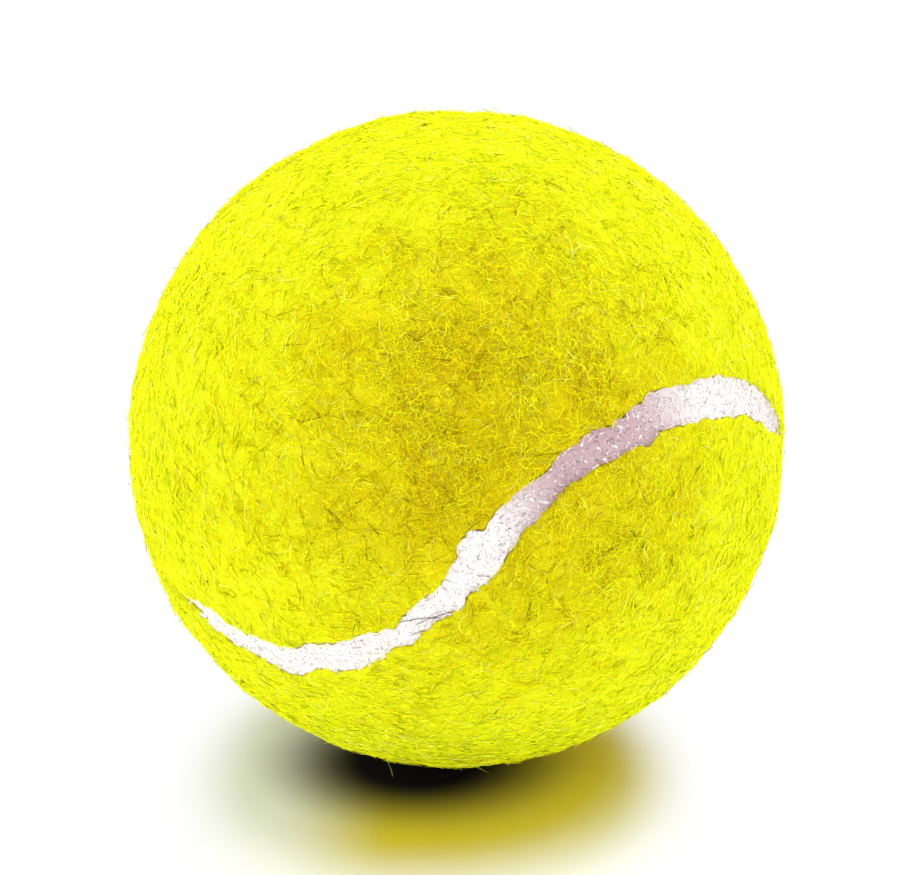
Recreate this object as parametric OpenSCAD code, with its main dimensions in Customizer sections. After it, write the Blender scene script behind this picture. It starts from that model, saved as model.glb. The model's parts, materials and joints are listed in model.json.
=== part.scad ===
// Tennis ball: two interlocking felt panels on a hollow rubber core, joined by one rubber seam.
// The origin is the ball's centre and +Z is up, with the seam turned as it lies in the picture.

/* [Ball] */
// Diameter over the felt
ball_d = 67; // [65.5:0.1:68.5]
// Thickness of the felt
felt_t = 3.1; // [2.6:0.1:3.6]
// Film of cured rubber cement between the core and each panel
film = 0.2; // [0.1:0.05:0.4]
// Wall of the rubber core
core_wall = 3.5; // [3:0.1:4.5]

/* [Seam] */
// Width of the rubber seam, measured along the ball's surface
seam_w = 3.9; // [2.5:0.1:5]
// How far the seam lies below the felt
seam_depth = 0.8; // [0.5:0.05:1.2]
// Rounding of the felt's outer edge beside the seam
edge_round = 0.7; // [0.2:0.05:1]
// How far each lobe's centre hangs past the ball's middle: a larger angle makes narrower waists
lobe_drop = 8; // [1:1:16]

/* [Core joint] */
// Cement between the faces of the two half shells
joint_gap = 0.2; // [0.1:0.05:0.4]
// Radius of the bead of cement squeezed out inside
bead_r = 0.6; // [0.3:0.05:1]

/* [How the ball lies] */
// Angle of the turn about the X axis
lie_x_angle = -38; // [-180:0.5:180]
// Angle of the turn about the Y axis
lie_y_angle = -28; // [-180:0.5:180]
// Angle of the turn about the upright Z axis
lie_z_angle = -123.5; // [-180:0.5:180]

/* [Hidden] */
$fn = 120;

// Straight steps in each of the seam's four arcs
arc_steps = 32;
// Straight steps in the rounding of a felt edge
edge_steps = 3;

ball_r = ball_d / 2;
film_r = ball_r - felt_t;
core_r = film_r - film;
cavity_r = core_r - core_wall;
seam_r = ball_r - seam_depth;
felt_edge = min(edge_round, seam_depth);
// Cutting shapes reach this far from the ball's centre, past every surface
reach = 2 * ball_d;

// The seam is four circular arcs on a sphere, about the centres of the panels' four lobes.
// Neighbouring lobe centres lie two lobe angles apart, so each arc runs smoothly into the next.
lobe_angle = acos(cos(lobe_drop) * cos(45));
half_seam = seam_w / 2 / ball_r * 180 / PI;
arc_half_span = atan2(1, -sin(lobe_drop));

rubber_black = "#2b2a29";
cement_tan = "#b9a27a";
felt_yellow = "#d6e01f";
seam_white = "#f2efe9";

// Unit vectors of a lobe of the first panel: its axis, and the way from there to the lobe's tip.
// side is 1 for the lobe towards +X and -1 for the other.
function lobe_axis(side) = [side * cos(lobe_drop), 0, -sin(lobe_drop)];
function lobe_tip_way(side) = [-side * sin(lobe_drop), 0, -cos(lobe_drop)];

// A direction at an angle from a lobe's axis, turned about it from the tip towards +Y
function on_lobe(side, angle, turn) =
    cos(angle) * lobe_axis(side)
    + sin(angle) * (cos(turn) * lobe_tip_way(side) + sin(turn) * [0, 1, 0]);

// A direction on the second panel's lobe towards +Y: the first panel's, turned over about a diagonal
function on_waist(angle, turn) =
    let (p = on_lobe(1, angle, turn)) [p[1], p[0], -p[2]];

// Half of the first panel's outline, from the tip of one lobe along the +Y side of the waist to the
// tip of the other, as directions that lie an angle inside the seam's middle line
function half_outline(inset) =
    let (half = arc_steps / 2, step = arc_half_span / half)
    concat([for (i = [0 : half]) on_lobe(1, lobe_angle - inset, i * step)],
           [for (i = [1 : arc_steps - 1]) on_waist(lobe_angle + inset, arc_half_span - i * step)],
           [for (i = [half : -1 : 0]) on_lobe(-1, lobe_angle - inset, i * step)]);

function outline(inset) =
    let (half = half_outline(inset), last = len(half) - 1)
    concat(half, [for (i = [last - 1 : -1 : 1]) [half[i][0], -half[i][1], half[i][2]]]);

// The rounding of a felt edge, as [distance from the centre, angle in from the wall], from the
// top of the wall to just past the outer surface
function edge_bend(rounding) =
    let (centre_r = ball_r - rounding,
         lean = asin(rounding / centre_r),
         turn = 90 + lean,
         centre = centre_r * [sin(lean), cos(lean)],
         bend = [for (i = [0 : edge_steps])
                     let (way = 90 - turn * i / edge_steps)
                     centre - rounding * [sin(way), -cos(way)]],
         last = bend[edge_steps],
         beyond = last + (last - bend[edge_steps - 1]))
    [for (p = concat([for (i = [0 : edge_steps - 1]) bend[i]], [beyond])) [norm(p), atan2(p[0], p[1])]];

// Everything that lies on the first panel's side of a wall between the seam and the panel. levels
// gives the wall, from the ball's centre outwards, as [distance, angle in from the seam's edge].
module panel_side(levels) {
    rings = [for (level = levels) level[0] * outline(half_seam + level[1])];
    count = len(rings[0]);
    tip = count / 2;
    top = 1 + count * (len(rings) - 1);
    points = concat([[0, 0, 0]], [for (ring = rings) each ring]);
    fan = [for (i = [0 : count - 1]) [0, 1 + (i + 1) % count, 1 + i]];
    wall = [for (k = [0 : len(rings) - 2], i = [0 : count - 1])
                let (low = 1 + k * count, high = low + count, next = (i + 1) % count)
                each [[low + i, low + next, high + next], [low + i, high + next, high + i]]];
    cap = [for (i = [0 : tip - 1])
               i == 0 ? [top, top + 1, top + count - 1]
               : i == tip - 1 ? [top + i, top + tip, top + tip + 1]
               : [top + i, top + i + 1, top + count - i - 1, top + count - i]];
    polyhedron(points = points, faces = concat(fan, len(rings) > 1 ? wall : [], cap));
}

// Everything that lies between the two panels' walls, from inside the core's cavity outwards
module seam_side() {
    inner_r = cavity_r / 2;
    edge_a = outline(half_seam);
    edge_b = outline(-half_seam);
    count = len(edge_a);
    points = concat(inner_r * edge_a, inner_r * edge_b, reach * edge_a, reach * edge_b);
    faces = [for (i = [0 : count - 1])
                let (next = (i + 1) % count,
                     a_low = [i, next], b_low = a_low + [count, count],
                     a_high = b_low + [count, count], b_high = a_high + [count, count])
                each [[a_low[1], a_low[0], a_high[0], a_high[1]],
                      [b_low[0], b_low[1], b_high[1], b_high[0]],
                      [a_high[1], a_high[0], b_high[0]], [a_high[1], b_high[0], b_high[1]],
                      [a_low[0], a_low[1], b_low[1]], [a_low[0], b_low[1], b_low[0]]]];
    polyhedron(points = points, faces = faces);
}

module shell(inner_r, outer_r) {
    difference() {
        sphere(outer_r);
        sphere(inner_r);
    }
}

// The second panel is the first one turned over about a diagonal
module turned_over() {
    rotate(a = 180, v = [1, 1, 0]) children();
}

module lying() {
    rotate([lie_x_angle, lie_y_angle, lie_z_angle]) children();
}

// The wall beside the seam, square to the ball's surface all the way out
module plain_side() {
    panel_side([[reach, 0]]);
}

module panel_cement() {
    intersection() {
        shell(core_r, film_r);
        plain_side();
    }
}

module felt_panel() {
    bend = edge_bend(felt_edge);
    intersection() {
        shell(film_r, ball_r);
        panel_side(concat(bend, [[reach, bend[len(bend) - 1][1]]]));
    }
}

// A half shell of the core, with its face set back for half of the cement
module core_half() {
    face = joint_gap / 2;
    difference() {
        sphere(core_r);
        sphere(cavity_r);
        translate([-ball_r, -ball_r, face - ball_d]) cube(ball_d);
    }
}

module core_half_a() {
    color(rubber_black) lying() core_half();
}

module core_half_b() {
    color(rubber_black) lying() rotate([180, 0, 0]) core_half();
}

module core_joint_cement() {
    color(cement_tan) lying() rotate_extrude() {
        intersection() {
            circle(core_r);
            translate([cavity_r - bead_r / 2, -joint_gap / 2]) square([ball_r, joint_gap]);
        }
        intersection() {
            circle(cavity_r);
            translate([cavity_r, 0]) circle(bead_r);
        }
    }
}

module panel_cement_a() {
    color(cement_tan) lying() panel_cement();
}

module panel_cement_b() {
    color(cement_tan) lying() turned_over() panel_cement();
}

module felt_panel_a() {
    color(felt_yellow) lying() felt_panel();
}

module felt_panel_b() {
    color(felt_yellow) lying() turned_over() felt_panel();
}

module seam_band() {
    color(seam_white) lying() intersection() {
        shell(core_r, seam_r);
        seam_side();
    }
}

core_half_a();
core_half_b();
core_joint_cement();
panel_cement_a();
panel_cement_b();
felt_panel_a();
felt_panel_b();
seam_band();
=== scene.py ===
import json
import math

import bpy
import numpy as np
from mathutils import Euler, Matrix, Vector

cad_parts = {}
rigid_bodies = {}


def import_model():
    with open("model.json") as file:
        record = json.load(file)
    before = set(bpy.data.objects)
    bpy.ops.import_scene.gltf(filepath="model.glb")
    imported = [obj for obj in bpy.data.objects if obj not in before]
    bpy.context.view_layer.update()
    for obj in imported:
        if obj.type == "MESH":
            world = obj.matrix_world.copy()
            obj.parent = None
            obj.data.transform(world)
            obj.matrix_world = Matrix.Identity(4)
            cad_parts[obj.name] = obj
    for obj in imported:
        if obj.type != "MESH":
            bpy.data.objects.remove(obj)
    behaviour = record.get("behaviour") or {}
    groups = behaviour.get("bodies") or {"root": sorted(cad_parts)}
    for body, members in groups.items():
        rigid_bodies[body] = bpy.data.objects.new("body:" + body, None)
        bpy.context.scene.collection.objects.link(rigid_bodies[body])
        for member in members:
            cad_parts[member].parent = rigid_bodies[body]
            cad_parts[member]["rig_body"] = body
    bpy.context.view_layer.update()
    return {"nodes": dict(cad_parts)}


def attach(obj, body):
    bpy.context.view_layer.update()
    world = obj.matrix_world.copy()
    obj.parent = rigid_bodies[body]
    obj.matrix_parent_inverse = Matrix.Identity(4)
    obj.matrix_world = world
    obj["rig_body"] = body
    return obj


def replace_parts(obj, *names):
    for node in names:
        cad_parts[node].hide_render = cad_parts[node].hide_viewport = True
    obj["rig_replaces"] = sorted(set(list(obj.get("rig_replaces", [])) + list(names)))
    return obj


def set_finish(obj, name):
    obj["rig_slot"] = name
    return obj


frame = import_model()
scene = bpy.context.scene
mm = 0.001
print("frame loaded:", sorted(frame["nodes"]))

# Everything here is in metres, about the ball's centre, with +Z up and the camera on the -Y side
ball = {
    "radius": 33.5 * mm,
    "filmRadius": 30.4 * mm,  # where the felt lies on its cement
    "coreRadius": 30.2 * mm,
    "lobeDrop": 8,  # degrees that each lobe's centre hangs past the middle
    "turn": (-38, -28, -123.5),  # how the ball lies, in degrees about X, then Y, then Z
}


# Small tools for meshes
def deselectAll():
    if bpy.context.object and bpy.context.object.mode != "OBJECT":
        bpy.ops.object.mode_set(mode="OBJECT")
    bpy.ops.object.select_all(action="DESELECT")


def only(piece):
    deselectAll()
    piece.select_set(True)
    bpy.context.view_layer.objects.active = piece


def lengths(vectors):
    return np.linalg.norm(vectors, axis=1)


def points(piece):
    co = np.empty(len(piece.data.vertices) * 3)
    piece.data.vertices.foreach_get("co", co)
    return co.reshape(-1, 3)


def movePoints(piece, co):
    piece.data.vertices.foreach_set("co", np.ascontiguousarray(co).ravel())
    piece.data.update()


def raiseBy(piece, lift):  # moves every point away from the ball's centre
    co = points(piece)
    movePoints(piece, co * (1 + lift / lengths(co))[:, None])


def pick(piece, mask):  # leaves the piece in edit mode with these vertices selected
    only(piece)
    bpy.ops.object.mode_set(mode="EDIT")
    bpy.ops.mesh.select_mode(type="VERT")
    bpy.ops.mesh.select_all(action="DESELECT")
    bpy.ops.object.mode_set(mode="OBJECT")
    piece.data.vertices.foreach_set("select", mask)
    bpy.ops.object.mode_set(mode="EDIT")


def pickAll(piece):
    pick(piece, np.ones(len(piece.data.vertices), bool))


def dropPoints(piece, mask):
    pick(piece, mask)
    bpy.ops.mesh.delete(type="VERT")
    bpy.ops.object.mode_set(mode="OBJECT")


def finishWith(piece, kind, **settings):
    only(piece)
    mod = piece.modifiers.new(kind.lower(), kind)
    for key, value in settings.items():
        setattr(mod, key, value)
    bpy.ops.object.modifier_apply(modifier=mod.name)


def groupPoints(piece, name, mask):
    group = piece.vertex_groups.new(name=name)
    group.add(np.flatnonzero(mask).tolist(), 1, "REPLACE")


def ruffle(piece, name, waves, group):  # waves are pairs of size and height
    for size, height in waves:
        texture = bpy.data.textures.new(f"{name}{size * 1e6:.0f}", "CLOUDS")
        texture.noise_scale = size
        texture.noise_depth = 2
        finishWith(
            piece, "DISPLACE", texture=texture, texture_coords="LOCAL", strength=height, mid_level=0.5,
            vertex_group=group,
        )


def dress(piece, *looks):
    piece.data.materials.clear()
    for look in looks:
        piece.data.materials.append(look)


def bareCopy(source, name):  # a copy that stands for no CAD node and rides on nothing yet
    only(source)
    bpy.ops.object.duplicate()
    piece = bpy.context.object
    piece.name = piece.data.name = name
    piece.parent = None
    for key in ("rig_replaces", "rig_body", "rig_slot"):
        if key in piece:
            del piece[key]
    return piece


def patch(name, along, across, place):  # a grid whose cells are laid on the ball by place(u, v)
    deselectAll()
    bpy.ops.mesh.primitive_grid_add(x_subdivisions=along, y_subdivisions=across, size=2)
    piece = bpy.context.object
    piece.name = piece.data.name = name
    flat = points(piece)
    movePoints(piece, place((flat[:, 0] + 1) / 2, flat[:, 1]))
    pickAll(piece)
    bpy.ops.mesh.remove_doubles(threshold=1e-6)
    bpy.ops.object.mode_set(mode="OBJECT")
    if sum(face.normal.dot(face.center) * face.area for face in piece.data.polygons) < 0:
        pickAll(piece)
        bpy.ops.mesh.flip_normals()
        bpy.ops.object.mode_set(mode="OBJECT")
    return piece


def thicken(piece, inner):  # closes a patch of the ball down to a smaller radius
    outer = lengths(points(piece)).mean()
    pickAll(piece)
    bpy.ops.mesh.extrude_region_move()
    bpy.ops.transform.resize(value=(inner / outer,) * 3, center_override=(0, 0, 0))
    bpy.ops.mesh.select_all(action="SELECT")
    bpy.ops.mesh.normals_make_consistent(inside=False)
    bpy.ops.object.mode_set(mode="OBJECT")


# Node trees: sums on sockets add their own Math nodes
class Wire:
    def __init__(self, tree, socket):
        self.tree, self.socket = tree, socket

    def __add__(self, other):
        return self.tree.sum("ADD", self, other)

    def __mul__(self, other):
        return self.tree.sum("MULTIPLY", self, other)

    def __sub__(self, other):
        return self.tree.sum("SUBTRACT", self, other)

    def __rsub__(self, other):
        return self.tree.sum("SUBTRACT", other, self)

    __radd__, __rmul__ = __add__, __mul__


class Shading:
    def __init__(self, owner):
        owner.use_nodes = True
        self.nodes, self.links = owner.node_tree.nodes, owner.node_tree.links

    def put(self, socket, value):
        if isinstance(value, Wire):
            self.links.new(value.socket, socket)
        elif isinstance(value, (tuple, list)) and len(value) == 3 and socket.type == "RGBA":
            socket.default_value = (*value, 1)
        else:
            socket.default_value = value

    def add(self, kind, settings, *inputs, out=0, **named):
        node = self.nodes.new("ShaderNode" + kind)
        for key, value in settings.items():
            setattr(node, key, value)
        for socket, value in zip(node.inputs, inputs):
            self.put(socket, value)
        for key, value in named.items():
            self.put(node.inputs[key.replace("_", " ")], value)
        return Wire(self, node.outputs[out])

    def sum(self, how, *values):
        return self.add("Math", {"operation": how}, *values)

    def vector(self, how, *values, out=0, **named):
        return self.add("VectorMath", {"operation": how}, *values, out=out, **named)

    def shape(self, value, low, high, start=0, end=1):  # a smooth step from start to end
        return self.add("MapRange", {"interpolation_type": "SMOOTHSTEP"}, value, low, high, start, end)

    def seen(self):  # 1 where the camera or a reflection looks
        rays = [self.add("LightPath", {}, out=kind) for kind in ("Is Camera Ray", "Is Glossy Ray")]
        return self.sum("MAXIMUM", *rays)


class Finish(Shading):
    def __init__(self, name):
        self.material = bpy.data.materials.new(name)
        super().__init__(self.material)
        self.shader = self.nodes["Principled BSDF"]
        self.object = self.add("TexCoord", {}, out="Object")

    def noise(self, scale, detail, rough=0.5, where=None, **named):
        return self.add(
            "TexNoise", {}, Vector=where or self.object, Scale=scale, Detail=detail, Roughness=rough, **named
        )

    def off(self, value, middle):  # how far a value is from a middle one
        return self.sum("ABSOLUTE", value - middle)

    def awayFrom(self, where):  # distance from a place
        return self.vector("DISTANCE", self.object, where, out="Value")

    def radius(self):  # distance from the ball's centre
        return self.vector("LENGTH", self.object, out="Value")

    def mix(self, factor, a, b):
        node = self.nodes.new("ShaderNodeMix")
        node.data_type = "RGBA"
        self.put(node.inputs[0], factor)
        self.put(node.inputs[6], a)
        self.put(node.inputs[7], b)
        return Wire(self, node.outputs[2])

    def stain(self, colour, mask, strength, shade):
        return self.mix(mask * strength, colour, shade)

    def curled(self, scale, detail, amount):  # the object's places pushed about, for curled patterns
        by = self.noise(scale, detail, out="Color")
        pushed = self.vector("SUBTRACT", by, (0.5, 0.5, 0.5))
        return self.vector("ADD", self.object, self.vector("SCALE", pushed, Scale=amount))

    def bump(self, height, distance, strength):
        return self.add("Bump", {}, Strength=strength, Distance=distance, Height=height)

    def set(self, **values):
        for key, value in values.items():
            self.put(self.shader.inputs[key.replace("_", " ")], value)
        return self.material


# The seam's middle line and the felt's ragged edges
drop = math.radians(ball["lobeDrop"])
lobeAngle = math.acos(math.cos(drop) * math.cos(math.radians(45)))
arcHalf = math.atan2(1, -math.sin(drop))
lying = np.array(Euler([math.radians(a) for a in ball["turn"]], "XYZ").to_matrix())


def lobe(side):  # a lobe's axis, and the way from there to its tip
    axis = np.array([side * math.cos(drop), 0, -math.sin(drop)])
    return axis, np.array([-side * math.sin(drop), 0, -math.cos(drop)])


def onLobe(side, angle, turn):
    axis, tip = lobe(side)
    ring = np.cos(turn)[:, None] * tip + np.sin(turn)[:, None] * np.array([0, 1, 0])
    return np.cos(angle)[:, None] * axis + np.sin(angle)[:, None] * ring


def seamWay(s, aside):  # unit directions: s runs 0 to 4 round the seam, aside is metres towards panel a
    s, lean = np.mod(s, 4), aside / ball["radius"] + np.zeros(len(s))
    arc, turn = np.floor(s).astype(int), (2 * (s % 1) - 1) * arcHalf
    found = np.zeros((len(s), 3))
    for k, (side, way) in enumerate(((1, 1), (1, -1), (-1, -1), (1, 1))):
        on = arc == k
        inwards = 1 if k in (0, 2) else -1
        p = onLobe(side, lobeAngle - inwards * lean[on], way * turn[on])
        if k in (1, 3):
            p = np.stack([p[:, 1], p[:, 0] if k == 1 else -p[:, 0], -p[:, 2]], 1)
        found[on] = p
    return found @ lying.T


raggedEdge = {
    "halfWidth": 1.62 * mm,
    "arcLength": 81.7,  # mm of seam in each of its four arcs
    "stations": 16001,  # places round the seam at which an edge is worked out
    "scallops": (0.45, 2.3),  # mm, shortest and longest
    "lastScallop": 0.012,  # share of an arc under which the last scallop takes what is left
    "deep": (-0.22, 0.48),  # mm that a scallop's middle reaches into the felt
    "scallopCurve": 0.55,
    "wander": 0.15,  # mm, slow changes of the seam's width
    "steepUnder": 6,  # mm: a shorter nick has steep ends, a longer one fades out
    "nickCurves": (0.6, 1.4),
    # place along the seam, length and depth in mm: torn places, and with a negative depth
    # places where the felt laps over the rubber
    "nicks": {
        "a": (
            (1.036, 3.0, 0.65), (1.209, 3.2, 0.50), (1.168, 2.4, 0.40), (1.105, 6.0, 0.50),
            (1.30, 3.0, 0.35), (0.78, 3.0, 0.20), (1.37, 2.2, 0.20), (0.90, 4.5, -0.7),
            (1.26, 12.0, -0.65), (1.07, 40.0, -0.85), (1.53, 8.0, -0.6), (0.635, 17.0, 1.7),
            (0.52, 12.0, -1.2), (3.82, 42.0, -0.9),
        ),
        "b": (
            (1.272, 2.6, 0.90), (1.235, 5.5, 0.45), (1.135, 4.0, -0.2), (1.10, 1.8, 0.10),
            (1.065, 2.4, 0.40), (1.022, 5.0, 0.85), (0.97, 1.8, 0.30), (0.925, 3.5, -0.45),
            (0.865, 5.0, -0.45), (0.769, 4.6, -0.85), (0.728, 4.0, 0.50), (1.47, 8.0, -0.5),
            (1.60, 10.0, -1.7), (0.637, 17.5, -2.0), (0.575, 8.0, -1.2), (0.52, 12.0, -0.9),
            (3.82, 38.0, -0.5),
        ),
    },
    "seeds": {"a": 11, "b": 29},
}
seamStations = np.linspace(0, 4, raggedEdge["stations"])


def raggedTable(seed, nicks):
    rnd = np.random.default_rng(seed)
    s = seamStations
    out = np.zeros(len(s))
    for _ in range(5):
        size = raggedEdge["wander"] * rnd.uniform(0.3, 1)
        out += size * np.sin(2 * np.pi * (rnd.integers(4, 26) * s / 4 + rnd.uniform()))
    at = 0.0
    while at < 4:
        long = rnd.uniform(*raggedEdge["scallops"]) / raggedEdge["arcLength"]
        if at + long > 4 - raggedEdge["lastScallop"]:
            long = 4 - at
        x = np.clip((s - at) / long * 2 - 1, -1, 1)
        deep = rnd.uniform(*raggedEdge["deep"])
        out += deep * (1 - x * x) ** raggedEdge["scallopCurve"] * ((s >= at) & (s < at + long))
        at += long
    for place, long, deep in nicks:
        x = np.clip((s - place) / (long / raggedEdge["arcLength"]) * 2, -1, 1)
        out += deep * (1 - x * x) ** raggedEdge["nickCurves"][long >= raggedEdge["steepUnder"]]
    return raggedEdge["halfWidth"] + out * mm


edgeTable = {side: raggedTable(raggedEdge["seeds"][side], raggedEdge["nicks"][side]) for side in "ab"}


def edgeOf(side, s):
    return np.interp(np.mod(s, 4), seamStations, edgeTable[side])


# Felt panels: each a dog-bone patch of the ball, thickened, remeshed and felted
felt = {
    "alongCells": 700,
    "acrossCells": 90,
    "surface": 33.28 * mm,  # under the nap
    "outerDepth": 0.75 * mm,  # how far down the lumps reach
    "voxel": 0.50 * mm,
    "roundings": 2,
    "lumps": ((5.2 * mm, 0.46 * mm), (1.5 * mm, 0.40 * mm)),  # size and height of its matted lumps
    "frontShade": (0.0035, -0.0305, 0.0110),  # the middle of the darker, more golden felt on the front: painted shade
    "frontShadeFade": (28 * mm, 6 * mm),
    "golden": (0.0005, -0.0323, 0.0070),  # the middle of the wider golden place on the front: painted shade
    # fineness of the painted strands, fineness of their curls, and how far these push them
    "strands": ((2300, 800, 1.6 * mm), (3600, 1200, 1.1 * mm), (5200, 1900, 0.8 * mm)),
    "strandWidth": 0.05,
    "patchScale": 160,
    # pairs of colours, one for each kind of patch. The low ones, between the painted strands, are darker as
    # painted shade in the gaps, and those for the front are darker and more golden as painted shade.
    "low": ((0.72, 0.74, 0.004), (0.82, 0.87, 0.006)),
    "lowFrontShade": ((0.40, 0.28, 0.001), (0.68, 0.55, 0.002)),
    "high": ((0.95, 0.94, 0.004), (0.95, 1.0, 0.014)),
    "highFrontShade": (0.88, 0.77, 0.003),
    "cutEdge": (32.6 * mm, 33.0 * mm),  # the felt is darker on its cut edge, below this
    "cutColour": (0.42, 0.28, 0.03),
}


def panelPlace(side):
    tip, sign = (0.5, 1) if side == "a" else (1.5, -1)

    def place(u, v):
        rims = [tip + way * 2 * u for way in (-1, 1)]
        ends = [seamWay(s, sign * edgeOf(side, s)) for s in rims]
        wide = np.arccos(np.clip((ends[0] * ends[1]).sum(1), -1, 1))
        part = (v + 1) / 2
        meeting = wide < 1e-6  # at the tips of the lobes
        even = np.sin(np.maximum(wide, 1e-9))
        near = np.where(meeting, 1 - part, np.sin((1 - part) * wide) / even)
        far = np.where(meeting, part, np.sin(part * wide) / even)
        way = near[:, None] * ends[0] + far[:, None] * ends[1]
        return way / lengths(way)[:, None] * felt["surface"]

    return place


def feltPanel(side):
    piece = patch(f"felt_{side}", felt["alongCells"], felt["acrossCells"], panelPlace(side))
    thicken(piece, ball["filmRadius"])
    finishWith(piece, "REMESH", mode="VOXEL", voxel_size=felt["voxel"], use_smooth_shade=True)
    finishWith(piece, "SMOOTH", factor=0.5, iterations=felt["roundings"])
    groupPoints(piece, "outer", lengths(points(piece)) > felt["surface"] - felt["outerDepth"])
    ruffle(piece, "lumps", felt["lumps"], "outer")
    only(piece)
    bpy.ops.object.shade_smooth()
    return piece


def feltMaterial():
    f = Finish("brushedFelt")
    strands = None
    for fine, curls, reach in felt["strands"]:
        line = f.off(f.noise(fine, 1, where=f.curled(curls, 2, reach)), 0.5)
        line = 1 - f.shape(line, 0, felt["strandWidth"])
        strands = line if strands is None else f.sum("MAXIMUM", strands, line)
    patches = f.shape(f.noise(felt["patchScale"], 3, 0.55), 0.34, 0.66)
    # painted shade: the felt darker and more golden on the front, and darker in the gaps between the strands
    frontShade = f.shape(f.awayFrom(felt["frontShade"]), *felt["frontShadeFade"])
    low = f.mix(frontShade, f.mix(patches, *felt["low"]), f.mix(patches, *felt["lowFrontShade"]))
    high = f.mix(frontShade, f.mix(patches, *felt["high"]), felt["highFrontShade"])
    colour = f.mix(strands, low, high)
    colour = f.mix(f.shape(f.radius(), *felt["cutEdge"]), felt["cutColour"], colour)
    return f.set(
        Base_Color=colour, Roughness=0.95, Specular_IOR_Level=0.1, Sheen_Weight=0.15,
        Sheen_Tint=(0.95, 1, 0.1), Normal=f.bump(strands, 0.12 * mm, 0.8),
    )


feltLook = feltMaterial()
panels = {}
for side in "ab":
    panels[side] = feltPanel(side)
    dress(panels[side], feltLook)
    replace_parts(panels[side], f"felt_panel_{side}")
    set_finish(panels[side], "felt")
    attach(panels[side], "root")
    print("felt", side, len(panels[side].data.polygons), "faces")

# The rubber seam between them
seamBand = {
    "alongCells": 2200,
    "acrossCells": 12,
    "rows": 0.7,  # under 1 brings the rows closer together beside the felt
    "top": 32.68 * mm,
    "faceDepth": 0.1 * mm,  # how far down the waves reach
    "tuck": 0.14 * mm,  # how far it reaches under the felt's edge
    "lip": (0.86, 0.42 * mm),  # from this share of its half width the rubber climbs the felt's cut edge
    # middle and half length of the stretches where the felt laps over it, and how they fade
    "lapped": ((3.82, 0.26), (0.49, 0.09)),
    "lapFade": 0.05,
    "waves": ((3.0 * mm, 0.16 * mm), (0.9 * mm, 0.07 * mm)),
    "white": ((0.77, 0.745, 0.74), (0.72, 0.69, 0.685)),
    "crumb": (0.4, (0.66, 0.53, 0.56)),  # strength and colour, here and below
    # painted shade: the rubber darker and pinkish around one place on its front
    "mauveShade": (0.92, (0.415, 0.26, 0.295)),
    "mauveShadeMiddle": (0.0132, -0.0287, 0.0064),
    "mauveShadeFade": (4 * mm, 12.4 * mm),
    "grime": (0.22, (0.55, 0.46, 0.44)),
    "dashes": {  # fineness, width and share of the short lines in the rubber, strength and colour
        "pale": (1900, 0.065, 0.48, 0.8, (0.93, 0.88, 0.88)),
        "dark": (1500, 0.026, 0.57, 0.45, (0.16, 0.10, 0.10)),
        "rosy": (2400, 0.046, 0.54, 0.5, (0.34, 0.20, 0.23)),
    },
    "lipEdge": (32.92 * mm, 33.08 * mm),
    "lipColour": (0.30, 0.19, 0.07),
}


def lapped(s):  # 1 where the felt laps over the rubber
    gaps = [reach - np.abs((np.mod(s, 4) - middle + 2) % 4 - 2) for middle, reach in seamBand["lapped"]]
    return np.clip(np.maximum(*gaps) / seamBand["lapFade"], 0, 1)


def bandPlace(u, v):
    s = 4 * u
    start, high = seamBand["lip"]
    out = np.sign(v) * np.abs(v) ** seamBand["rows"]
    climb = np.clip((np.abs(out) - start) / (1 - start), 0, 1) ** 2 * high * (1 - lapped(s))
    sideA, sideB = (edgeOf(side, s) + seamBand["tuck"] for side in "ab")
    return seamWay(s, (out + 1) / 2 * (sideA + sideB) - sideB) * (seamBand["top"] + climb)[:, None]


def rubberMaterial():
    f = Finish("whiteRubber")
    crumbs = f.noise(2300, 2, 0.6, f.curled(1500, 1, 0.6 * mm))
    grime = f.shape(f.noise(260, 4, 0.6), 0.48, 0.75)
    # painted shade, pinkish, about one place on the front
    mauveShade = 1 - f.shape(f.awayFrom(seamBand["mauveShadeMiddle"]), *seamBand["mauveShadeFade"])
    colour = f.mix(f.shape(f.noise(90, 2), 0.35, 0.65), *seamBand["white"])
    colour = f.stain(colour, f.shape(crumbs, 0.50, 0.64), *seamBand["crumb"])
    colour = f.stain(colour, mauveShade, *seamBand["mauveShade"])
    colour = f.stain(colour, grime, *seamBand["grime"])
    dashes = {}
    for name, (fine, thin, keep, strength, shade) in seamBand["dashes"].items():
        line = f.off(f.noise(fine * 0.7, 0, where=f.curled(fine * 0.6, 1, 1.2 / fine)), 0.5)
        line = 1 - f.shape(line, thin * 0.4, thin)
        dashes[name] = line * f.shape(f.noise(fine * 1.3, 1), keep, keep + 0.05)
        colour = f.stain(colour, dashes[name], strength, shade)
    lip = f.shape(f.radius(), *seamBand["lipEdge"]) * f.shape(f.noise(1200, 2, 0.6), 0.35, 0.6)
    colour = f.mix(lip, colour, seamBand["lipColour"])
    grain = crumbs + f.noise(2600, 3, 0.6) * 0.5 + dashes["pale"] - dashes["dark"] * 0.8
    return f.set(Base_Color=colour, Roughness=0.8, Normal=f.bump(grain, 0.14 * mm, 0.9))


band = patch("seam", seamBand["alongCells"], seamBand["acrossCells"], bandPlace)
thicken(band, ball["coreRadius"])
groupPoints(band, "face", lengths(points(band)) > seamBand["top"] - seamBand["faceDepth"])
ruffle(band, "waves", seamBand["waves"], "face")
only(band)
bpy.ops.object.shade_smooth_by_angle(angle=math.radians(40))
dress(band, rubberMaterial())
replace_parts(band, "seam_band")
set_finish(band, "seam_rubber")
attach(band, "root")
print("seam", len(band.data.polygons), "faces")

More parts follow.
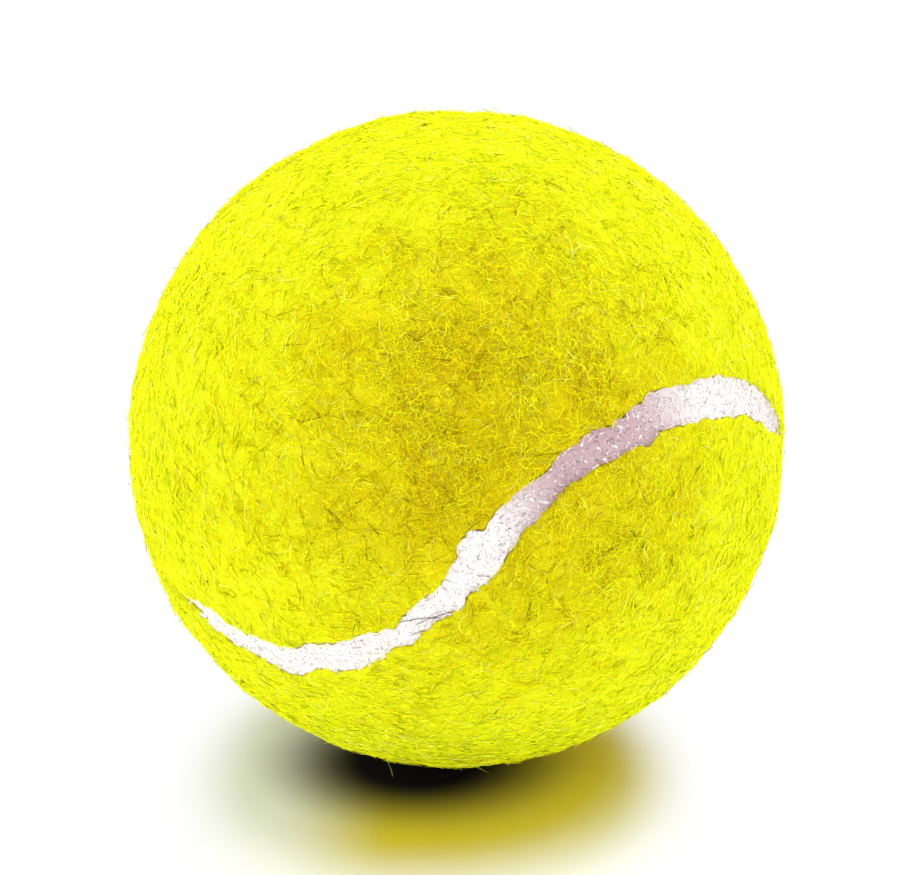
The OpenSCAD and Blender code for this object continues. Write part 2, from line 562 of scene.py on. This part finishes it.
# The nap: a few curled fibres, modelled once and scattered over the panels
nap = {
    "thick": 0.0255 * mm,  # radius of a fibre
    "bends": 4,  # straight steps in a curl
    "sunk": 0.10 * mm,  # how far the ends of a curl lie under the surface that it grows on
    "surface": 32.85 * mm,  # fibres grow on what lies further out
    "edgeWidth": 1.6 * mm,  # of the strip beside the seam that carries the edge layer
    "overhang": 0.18 * mm,  # how far a fibre may reach over the seam
    "lapOver": 1.0 * mm,  # how much further where the felt laps over it
    "crossing": 0.015,  # share of the fibres that may cross it all the same
    "curls": (  # radius of the bend in mm, degrees one way, degrees back, lift in mm
        (0.55, 170, 0, 0.16), (0.85, 140, 0, 0.17), (0.65, 110, 80, 0.18), (1.30, 100, 0, 0.20),
        (0.95, 85, 75, 0.20), (2.1, 75, 0, 0.20), (0.40, 190, 0, 0.20), (1.5, 60, 55, 0.22),
    ),
    "layers": (  # name, fibres on each panel, size, tilt in degrees, lift in mm, share pale, share brown
        ("under", 8500, (0.9, 1.3), 5, 0.00, 0.0, 0.40), ("mid", 10500, (0.75, 1.25), 8, 0.07, 0.03, 0.12),
        ("top", 10800, (0.65, 1.2), 12, 0.14, 0.10, 0.03), ("loose", 4500, (0.5, 1.0), 26, 0.12, 0.16, 0.0),
        ("edge", 4500, (0.35, 0.7), 9, 0.04, 0.1, 0.05),
    ),
    "shades": {
        "pale": (0.985, 0.99, 0.15), "lime": (0.915, 0.99, 0.010), "bright": (0.985, 0.975, 0.008),
        "golden": (0.96, 0.80, 0.003), "brown": (0.44, 0.31, 0.002),
    },
    "limeShare": 0.80,  # where there is no painted golden shade
    "mats": ((9, 0.16), (17, 0.12), (31, 0.10)),  # how fine, and how strong, the golden mats are
    "matsHeight": 1.6,
    "matsElsewhere": 0.1,  # share of their strength that they keep away from the painted golden shade
    # the darker and the golden painted shade on the front end at this many times this distance from their
    # middles
    "frontShadeReach": (1.2, 21 * mm),
    "goldenShadeReach": (1.25, 25 * mm),
    "golden": (0.55, 0.9),  # share of golden fibres in the painted golden shade on the front, and the most anywhere
    "seeds": {"mats": 100, "shades": 50},
}


def fibreMaterial(name, colour):
    return Finish(name).set(Base_Color=colour, Roughness=0.7, Specular_IOR_Level=0.02)


def curl(name, bend, one, back, lift, material, bends, thick):  # bends one way, then back, and sinks its ends
    bend *= mm
    deselectAll()
    bpy.ops.mesh.primitive_circle_add(
        vertices=3, radius=thick, location=(bend, 0, 0), rotation=(math.pi / 2, 0, 0)
    )
    fibre = bpy.context.object
    bpy.ops.object.transform_apply(location=True, rotation=True, scale=True)
    steps = max(1, round(bends * one / (one + back)))
    bpy.ops.object.mode_set(mode="EDIT")
    bpy.ops.mesh.select_all(action="SELECT")
    bpy.ops.mesh.spin(steps=steps, angle=math.radians(one), center=(0, 0, 0), axis=(0, 0, 1))
    if back:
        centre = Vector((math.cos(math.radians(one)), math.sin(math.radians(one)), 0)) * 2 * bend
        bpy.ops.mesh.spin(steps=bends - steps, angle=-math.radians(back), center=centre, axis=(0, 0, 1))
    bpy.ops.mesh.merge(type="CENTER")
    bpy.ops.object.mode_set(mode="OBJECT")
    pick(fibre, np.isin(np.arange(len(fibre.data.vertices)), (0, 1, 2)))
    bpy.ops.mesh.merge(type="CENTER")
    bpy.ops.mesh.select_all(action="SELECT")
    bpy.ops.mesh.normals_make_consistent(inside=False)
    bpy.ops.object.mode_set(mode="OBJECT")
    co = points(fibre)
    co[:, :2] -= co[:, :2].mean(0)
    far = lengths(co[:, :2])
    co[:, 2] += lift * mm * (1 - (far / far.max()) ** 2) - nap["sunk"]
    movePoints(fibre, co)
    fibre.data.materials.append(material)
    bpy.ops.object.shade_smooth()
    fibre.name = fibre.data.name = name
    return fibre


def homeOf(name, fibres):  # a collection of its own, from which fibres are scattered
    home = bpy.data.collections.new(name)
    scene.collection.children.link(home)
    for fibre in fibres:
        for old in list(fibre.users_collection):
            old.objects.unlink(fibre)
        home.objects.link(fibre)
    return home


def clearHome(home):
    for fibre in list(home.objects):
        bpy.data.objects.remove(fibre)
    bpy.data.collections.remove(home)


def scatterTree(curls, density, size, tilt, seed):
    tree = bpy.data.node_groups.new("nap", "GeometryNodeTree")
    for way in ("INPUT", "OUTPUT"):
        tree.interface.new_socket("Geometry", in_out=way, socket_type="NodeSocketGeometry")

    def add(kind, **values):  # a linked socket or a plain value for each input
        node = tree.nodes.new(kind)
        for key, value in values.items():
            socket = node.inputs[key.replace("_", " ")]
            if isinstance(value, bpy.types.NodeSocket):
                tree.links.new(value, socket)
            else:
                socket.default_value = value
        return node

    def random(kind, at, low, high, more):  # at is the first of the two inputs that this kind reads
        node = tree.nodes.new("FunctionNodeRandomValue")
        node.data_type = kind
        node.inputs[at].default_value, node.inputs[at + 1].default_value = low, high
        node.inputs["Seed"].default_value = seed * 7 + more
        return node.outputs[at // 2]

    lean = math.radians(tilt)
    spin = random("FLOAT_VECTOR", 0, (-lean, -lean, -math.pi), (lean, lean, math.pi), 1)
    scale = random("FLOAT", 2, *size, 2)
    choice = random("INT", 4, 0, len(curls.objects) - 1, 3)
    start = tree.nodes.new("NodeGroupInput")
    spots = add("GeometryNodeDistributePointsOnFaces", Mesh=start.outputs[0], Density=density, Seed=seed)
    euler = add("FunctionNodeEulerToRotation", Euler=spin)
    turn = tree.nodes.new("FunctionNodeRotateRotation")
    turn.rotation_space = "LOCAL"
    tree.links.new(spots.outputs["Rotation"], turn.inputs[0])
    tree.links.new(euler.outputs[0], turn.inputs[1])
    source = add(
        "GeometryNodeCollectionInfo", Collection=curls, Separate_Children=True, Reset_Children=True
    )
    place = add(
        "GeometryNodeInstanceOnPoints", Points=spots.outputs["Points"], Instance=source.outputs[0],
        Pick_Instance=True, Instance_Index=choice, Rotation=turn.outputs[0], Scale=scale,
    )
    real = add("GeometryNodeRealizeInstances", Geometry=place.outputs[0])
    add("NodeGroupOutput", Geometry=real.outputs[0])
    return tree


def scatterOn(piece, curls, count, size, tilt, seed):  # swaps the piece's mesh for fibres that lie on it
    area = sum(face.area for face in piece.data.polygons)
    finishWith(piece, "NODES", node_group=scatterTree(curls, count / area, size, tilt, seed))


shades = {name: fibreMaterial(f"{name}Fibre", colour) for name, colour in nap["shades"].items()}
curls = homeOf("curls", [
    curl(f"curl{i:02d}", *bend, shades["bright"], nap["bends"], nap["thick"])
    for i, bend in enumerate(nap["curls"])
])
fibrePoints = 3 * (nap["bends"] - 1) + 2
print("curls modelled")


def shadeNap(piece, pale, brown, seed):  # golden as painted shade on the front and in random mats, paler in the loose fibres
    co = points(piece).reshape(-1, fibrePoints, 3).mean(1)
    way = co / lengths(co)[:, None]
    mats = np.zeros(len(way))
    for k, (fine, strong) in enumerate(nap["mats"]):
        turn = np.random.default_rng(nap["seeds"]["mats"] + k).normal(size=(3, 3))
        waves = np.sin(way @ turn[0] * fine) * np.sin(way @ turn[1] * fine + 1)
        mats += strong * waves * nap["matsHeight"]
    # painted shade on the front: where it is darker, and where it is golden
    frontShade, goldenShade = (
        np.clip(end - lengths(co - np.array(felt[middle])) / reach, 0, 1)
        for middle, (end, reach) in (("frontShade", nap["frontShadeReach"]), ("golden", nap["goldenShadeReach"]))
    )
    share, cap = nap["golden"]
    kept = nap["matsElsewhere"]
    golden = np.clip(share * goldenShade + mats * (kept + (1 - kept) * goldenShade), 0.0, cap)
    chance = np.random.default_rng(seed).uniform(size=len(way))
    rest = (chance - golden) / (1 - golden)
    names = list(nap["shades"])
    rested = np.where(rest < nap["limeShare"] * (1 - goldenShade), names.index("lime"), names.index("bright"))
    rested = np.where(rest < pale, names.index("pale"), rested)
    shade = np.where(chance < golden, names.index("golden"), rested)
    # brown fibres on the front, most in the under layer: painted shade deep in the nap
    shade[np.random.default_rng(seed + 5).uniform(size=len(way)) < brown * frontShade] = names.index("brown")
    dress(piece, *shades.values())
    faces = np.repeat(shade, len(piece.data.polygons) // len(way)).astype(np.int32)
    piece.data.polygons.foreach_set("material_index", faces)
    piece.data.update()


def insideFelt(co, side):  # metres from a panel's ragged edge, positive on the felt, and the place along it
    way = co / lengths(co)[:, None] @ lying
    axis, tip = lobe(1)
    best, s = np.full(len(way), 9.0), np.zeros(len(way))
    for k in range(4):
        p = way if k in (0, 2) else np.stack([way[:, 1], way[:, 0], -way[:, 2]], 1)
        p = p * np.array([1 if k < 2 else -1, 1, 1])
        angle, turn = np.arccos(np.clip(p @ axis, -1, 1)), np.arctan2(p[:, 1], p @ tip)
        aside = (lobeAngle - angle) * (1 if k in (0, 2) else -1)
        run = turn / arcHalf * (1 if k in (0, 3) else -1)
        near = (np.abs(run) <= 1) & (np.abs(aside) < np.abs(best))
        best, s = np.where(near, aside, best), np.where(near, k + (run + 1) / 2, s)
    aside = best * ball["radius"]
    return (aside if side == "a" else -aside) - edgeOf(side, s), s


def trimNap(piece, side, seed):  # takes out the fibres that lie over the rubber
    edge, s = insideFelt(points(piece), side)
    edge = edge + nap["overhang"] + nap["lapOver"] * lapped(s)
    over = edge.reshape(-1, fibrePoints).min(1) < 0
    over &= np.random.default_rng(seed).uniform(size=len(over)) > nap["crossing"]
    dropPoints(piece, np.repeat(over, fibrePoints))
    return over.sum()


for side in "ab":
    for k, (layer, count, size, tilt, lift, pale, brown) in enumerate(nap["layers"]):
        piece = bareCopy(panels[side], f"nap_{layer}_{side}")
        piece.data.materials.clear()
        unused = lengths(points(piece)) < nap["surface"]
        if layer == "edge":
            unused |= insideFelt(points(piece), side)[0] > nap["edgeWidth"]
        dropPoints(piece, unused)
        raiseBy(piece, lift * mm)
        seed = 10 * k + (side == "b")
        scatterOn(piece, curls, count, size, tilt, seed)
        cut = trimNap(piece, side, k)
        shadeNap(piece, pale, brown, nap["seeds"]["shades"] + seed)
        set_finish(piece, "felt")
        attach(piece, "root")
        print(piece.name, len(piece.data.polygons), "faces,", cut, "fibres trimmed")
clearHome(curls)

# Lint and broken fibres that lie on the rubber, and a few long hairs
lint = {
    "bits": 9500,
    "size": (0.5, 1.05),
    "tilt": 10,
    "seed": 5,
    "lift": 0.11 * mm,
    "onto": (32.5 * mm, 32.85 * mm),  # the part of the band that it lies on, as radii
    "bitLift": 0.03,  # mm
    "bitBends": 2,
    "shapes": (  # radius of the bend in mm, degrees, thickness in mm, shade
        (0.42, 52, 0.021, "dark"), (0.55, 38, 0.022, "rosy"), (0.28, 85, 0.019, "white"),
        (0.8, 34, 0.019, "white"), (0.36, 60, 0.020, "dark"),
    ),
    "shades": {"dark": (0.13, 0.07, 0.07), "rosy": (0.42, 0.27, 0.29), "white": (0.82, 0.75, 0.76)},
    # name, place along the seam, mm aside, degrees that it lies across the seam,
    # radius of the bend in mm, degrees, shade, thickness in mm
    "hairs": (
        ("hairLong", 0.934, -1.00, 13, 9.0, 54, "dark", 0.034),
        ("hairBeside", 0.945, -1.30, 13, 12.0, 24, "dark", 0.032),
        ("hairLow", 0.926, -1.65, 13, 12.0, 20, "dark", 0.026),
        ("hairShort", 1.014, -2.00, 50, 4.0, 22, "dark", 0.032),
        ("hairPaleA", 1.158, 0.3, 62, 1.2, 85, "white", 0.020),
        ("hairPaleB", 1.172, -0.1, -35, 1.0, 75, "white", 0.020),
        ("hairPaleC", 1.24, 0.1, 80, 2.0, 50, "white", 0.020),
    ),
    "hairBends": 8,
    "hairLift": 0.2 * mm,
    # name, way from the ball's centre and degrees of two dark specks on the felt
    "specks": (("speckLow", (-0.670, -0.723, -0.170), 95), ("speckHigh", (-0.678, -0.732, -0.067), 50)),
    "speckCurl": (0.22, 4, 0.075 * mm),  # radius of the bend in mm, straight steps and thickness
    "speckLift": 0.88 * mm,
    "stray": (-6.9, -10.7, -32.3),  # mm, where one fibre hangs free under the ball
    "strayCurl": (5.0, 28, 6, 0.03 * mm),  # radius of the bend in mm, degrees, straight steps and thickness
    "strayWays": ((0.99, 0.05, 0.11), (0.12, -0.30, -0.94)),  # across it and down along it
}


def wrap(fibre, way, heading, radius):  # lays a flat curl on the ball
    way = way / np.linalg.norm(way)
    along = heading - way * (way @ heading)
    along /= np.linalg.norm(along)
    co = points(fibre)
    flat = way * radius + co[:, :1] * along + co[:, 1:2] * np.cross(way, along)
    movePoints(fibre, flat / lengths(flat)[:, None] * (radius + co[:, 2:]))


lintShades = {name: fibreMaterial(f"{name}Lint", colour) for name, colour in lint["shades"].items()}
bits = homeOf("bits", [
    curl(f"bit{i}", bend, turn, 0, lint["bitLift"], lintShades[shade], lint["bitBends"], thick * mm)
    for i, (bend, turn, thick, shade) in enumerate(lint["shapes"])
])
piece = bareCopy(band, "lint")
reach = lengths(points(piece))
dropPoints(piece, (reach < lint["onto"][0]) | (reach > lint["onto"][1]))
raiseBy(piece, lint["lift"])
scatterOn(piece, bits, lint["bits"], lint["size"], lint["tilt"], lint["seed"])
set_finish(piece, "seam_rubber")
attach(piece, "root")
print("lint", len(piece.data.polygons), "faces")
clearHome(bits)
for name, s, aside, lean, bend, turn, shade, thick in lint["hairs"]:
    hair = curl(name, bend, turn, 0, 0.0, lintShades[shade], lint["hairBends"], thick * mm)
    ahead, behind = (seamWay(np.array([s + step]), aside * mm)[0] for step in (0.01, -0.01))
    way, heading = ahead + behind, ahead - behind
    across = np.cross(way, heading)
    heading = heading / np.linalg.norm(heading) * math.sin(math.radians(lean))
    heading += across / np.linalg.norm(across) * math.cos(math.radians(lean))
    wrap(hair, way, heading, seamBand["top"] + lint["hairLift"])
    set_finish(hair, "seam_rubber")
    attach(hair, "root")
loose = []
bend, bends, thick = lint["speckCurl"]
for name, way, turn in lint["specks"]:
    speck = curl(name, bend, turn, 0, 0.0, lintShades["dark"], bends, thick)
    wrap(speck, np.array(way), np.array((0, 0, 1.0)), felt["surface"] + lint["speckLift"])
    loose.append(speck)
bend, turn, bends, thick = lint["strayCurl"]
stray = curl("strayBelow", bend, turn, 0, 0.0, shades["pale"], bends, thick)
co = points(stray)
across, down = np.array(lint["strayWays"])
movePoints(stray, np.array(lint["stray"]) * mm + co[:, 1:2] * down + co[:, :1] * across)
for piece in (*loose, stray):
    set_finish(piece, "felt")
    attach(piece, "root")
print("hairs laid")

# The rubber core and its cement, sealed inside
inside = {
    "core": ((0.022, 0.021, 0.020), (0.055, 0.052, 0.049)),
    "dust": (0.3, (0.20, 0.19, 0.17)),  # strength and colour
    "cement": ((0.42, 0.29, 0.13), (0.56, 0.43, 0.24)),
    "thickCement": (0.4, (0.30, 0.19, 0.08)),
}


def coreMaterial():
    f = Finish("mouldedRubber")
    cloud = f.noise(70, 4, 0.6)
    colour = f.mix(f.shape(cloud, 0.3, 0.7), *inside["core"])
    colour = f.stain(colour, f.shape(f.noise(900, 3, 0.6), 0.58, 0.72), *inside["dust"])
    return f.set(
        Base_Color=colour, Roughness=f.shape(cloud, 0.2, 0.8, 0.55, 0.8),
        Normal=f.bump(f.noise(1400, 3, 0.6), 0.05 * mm, 0.6),
    )


def cementMaterial():
    f = Finish("driedCement")
    brushed = f.noise(300, 3, 0.6, f.add("Mapping", {}, f.object, Scale=(1, 1, 0.25)))
    colour = f.mix(f.shape(brushed, 0.3, 0.7), *inside["cement"])
    colour = f.stain(colour, f.shape(f.noise(120, 2), 0.5, 0.7), *inside["thickCement"])
    return f.set(
        Base_Color=colour, Roughness=f.shape(brushed, 0.2, 0.8, 0.35, 0.6),
        Normal=f.bump(brushed, 0.06 * mm, 0.5),
    )


looks = {"core_half": coreMaterial(), "cement": cementMaterial()}
for name, node in frame["nodes"].items():
    for part in ("core_half", "cement"):
        if part in name:
            for place in node.material_slots:
                place.material = looks[part]
print("core and cement finished")

# Floor, light and camera
room = {
    "floorZ": -33.5 * mm,
    "halfSize": 4.0,
    "paper": (0.93, 0.93, 0.93),
    "bounceShadow": (0.63, 0.51, 0.032),  # painted shadow, with the ball's yellow as painted bounce light
    "coolShade": (0.9, (0.74, 0.78, 0.80)),  # painted shade: strength and colour on its greyer side
    "coolShadeSide": (-6 * mm, -19 * mm),
    # painted shadow, near black, where the ball meets the paper
    "contactShadow": (0.003, 0.002, 0.003),
    # the painted shadow and the part that isn't plain white: middle in mm and stretch, then where they fade
    "bounceShadowPlace": (3.4, 7.3, 0.85, 1),
    "contactShadowFade": (5 * mm, 16 * mm),
    "bounceShadowFade": (15.5 * mm, 27.5 * mm),
    "shadePlace": (1.9, 7, 1.04, 0.80),
    "shadeFade": (19 * mm, 30 * mm),
    "worldLight": (1.09, 0.84),  # a light tent, dimmer on the side where the camera looks in
    "darkSide": (0, -0.83, 0.56),
    "darkFade": (0.1, 0.9),
    "lamps": (  # name, place, size, power
        ("softboxAbove", (0.09, 0.12, 0.55), 0.30, 2.3),
        ("fillFront", (-0.35, -0.5, 0.25), 0.4, 0.60),
        ("fillLow", (-0.09, -0.45, -0.005), 0.30, 1.02),
        ("sideLeft", (-0.5, -0.04, 0.10), 0.24, 0.75),
        ("sideRight", (0.5, -0.04, 0.10), 0.24, 0.85),
    ),
}
deselectAll()
bpy.ops.mesh.primitive_plane_add(size=2 * room["halfSize"], location=(0, 0, room["floorZ"]))
floor = bpy.context.object
floor.name = "floor"
bpy.ops.object.transform_apply(location=True, rotation=True, scale=True)
paper = Finish("paperFloor")


def around(x, y, wide, deep):  # distance on the floor from a place near the contact
    where = paper.add("Mapping", {}, paper.object, (x * mm, y * mm, 0), Scale=(wide, deep, 0))
    return paper.vector("LENGTH", where, out="Value")


# painted shadow under the ball: near black at the contact, greyer on one side and yellow further out
coolShade = paper.shape(paper.add("SeparateXYZ", {}, paper.object), *room["coolShadeSide"])
nearBall = around(*room["bounceShadowPlace"])
paintedShadow = paper.stain(room["bounceShadow"], coolShade, *room["coolShade"])
paintedShadow = paper.mix(paper.shape(nearBall, *room["contactShadowFade"]), room["contactShadow"], paintedShadow)
paintedShadow = paper.mix(paper.shape(nearBall, *room["bounceShadowFade"]), paintedShadow, room["paper"])
paper.set(Base_Color=paintedShadow, Roughness=0.9, Specular_IOR_Level=0.1)
far = paper.shape(around(*room["shadePlace"]), *room["shadeFade"])  # plain white for the camera
blend = paper.add(
    "MixShader", {}, far * paper.seen(), Wire(paper, paper.shader.outputs[0]), paper.add("Emission", {})
)
paper.put(paper.nodes["Material Output"].inputs["Surface"], blend)
dress(floor, paper.material)

world = bpy.data.worlds.new("studio")
scene.world = world
tent = Shading(world)
tent.nodes.remove(tent.nodes["Background"])
facing = tent.vector("DOT_PRODUCT", tent.add("TexCoord", {}, out="Generated"), room["darkSide"], out="Value")
strength = tent.shape(facing, *room["darkFade"], *room["worldLight"])
light = tent.add("Background", {}, (1, 1, 1), strength)
shown = tent.add("Background", {}, (1, 1, 1), 1)
tent.put(tent.nodes["World Output"].inputs["Surface"], tent.add("MixShader", {}, tent.seen(), light, shown))

for name, place, size, power in room["lamps"]:
    data = bpy.data.lights.new(name, "AREA")
    data.shape, data.size, data.energy = "DISK", size, power
    lamp = bpy.data.objects.new(name, data)
    lamp.location = place
    lamp.rotation_euler = (-Vector(place)).to_track_quat("-Z", "Y").to_euler()
    scene.collection.objects.link(lamp)

# The camera looks at the ball's centre from a distance in ball radii. The outline's radius and centre,
# and the frame's size, are in pixels.
view = {
    "distance": 5.5,
    "elevation": 18,
    "outline": 328,
    "centre": (456, 438.5),
    "frame": (900, 875),
    "film": 36,
}
eye = bpy.data.cameras.new("camera")
camera = bpy.data.objects.new("camera", eye)
scene.collection.objects.link(camera)
scene.camera = camera
away, rise = view["distance"] * ball["radius"], math.radians(view["elevation"])
camera.location = (0, -away * math.cos(rise), away * math.sin(rise))
camera.rotation_euler = (math.pi / 2 - rise, 0, 0)
(wide, high), (x, y) = view["frame"], view["centre"]
eye.sensor_fit, eye.sensor_width = "HORIZONTAL", view["film"]
eye.lens = view["outline"] * math.sqrt(view["distance"] ** 2 - 1) * view["film"] / wide
eye.shift_x, eye.shift_y = (wide / 2 - x) / wide, (y - high / 2) / wide
eye.clip_start, eye.clip_end = 0.01, 50
scene.view_settings.view_transform = "Standard"
print("room and camera set")
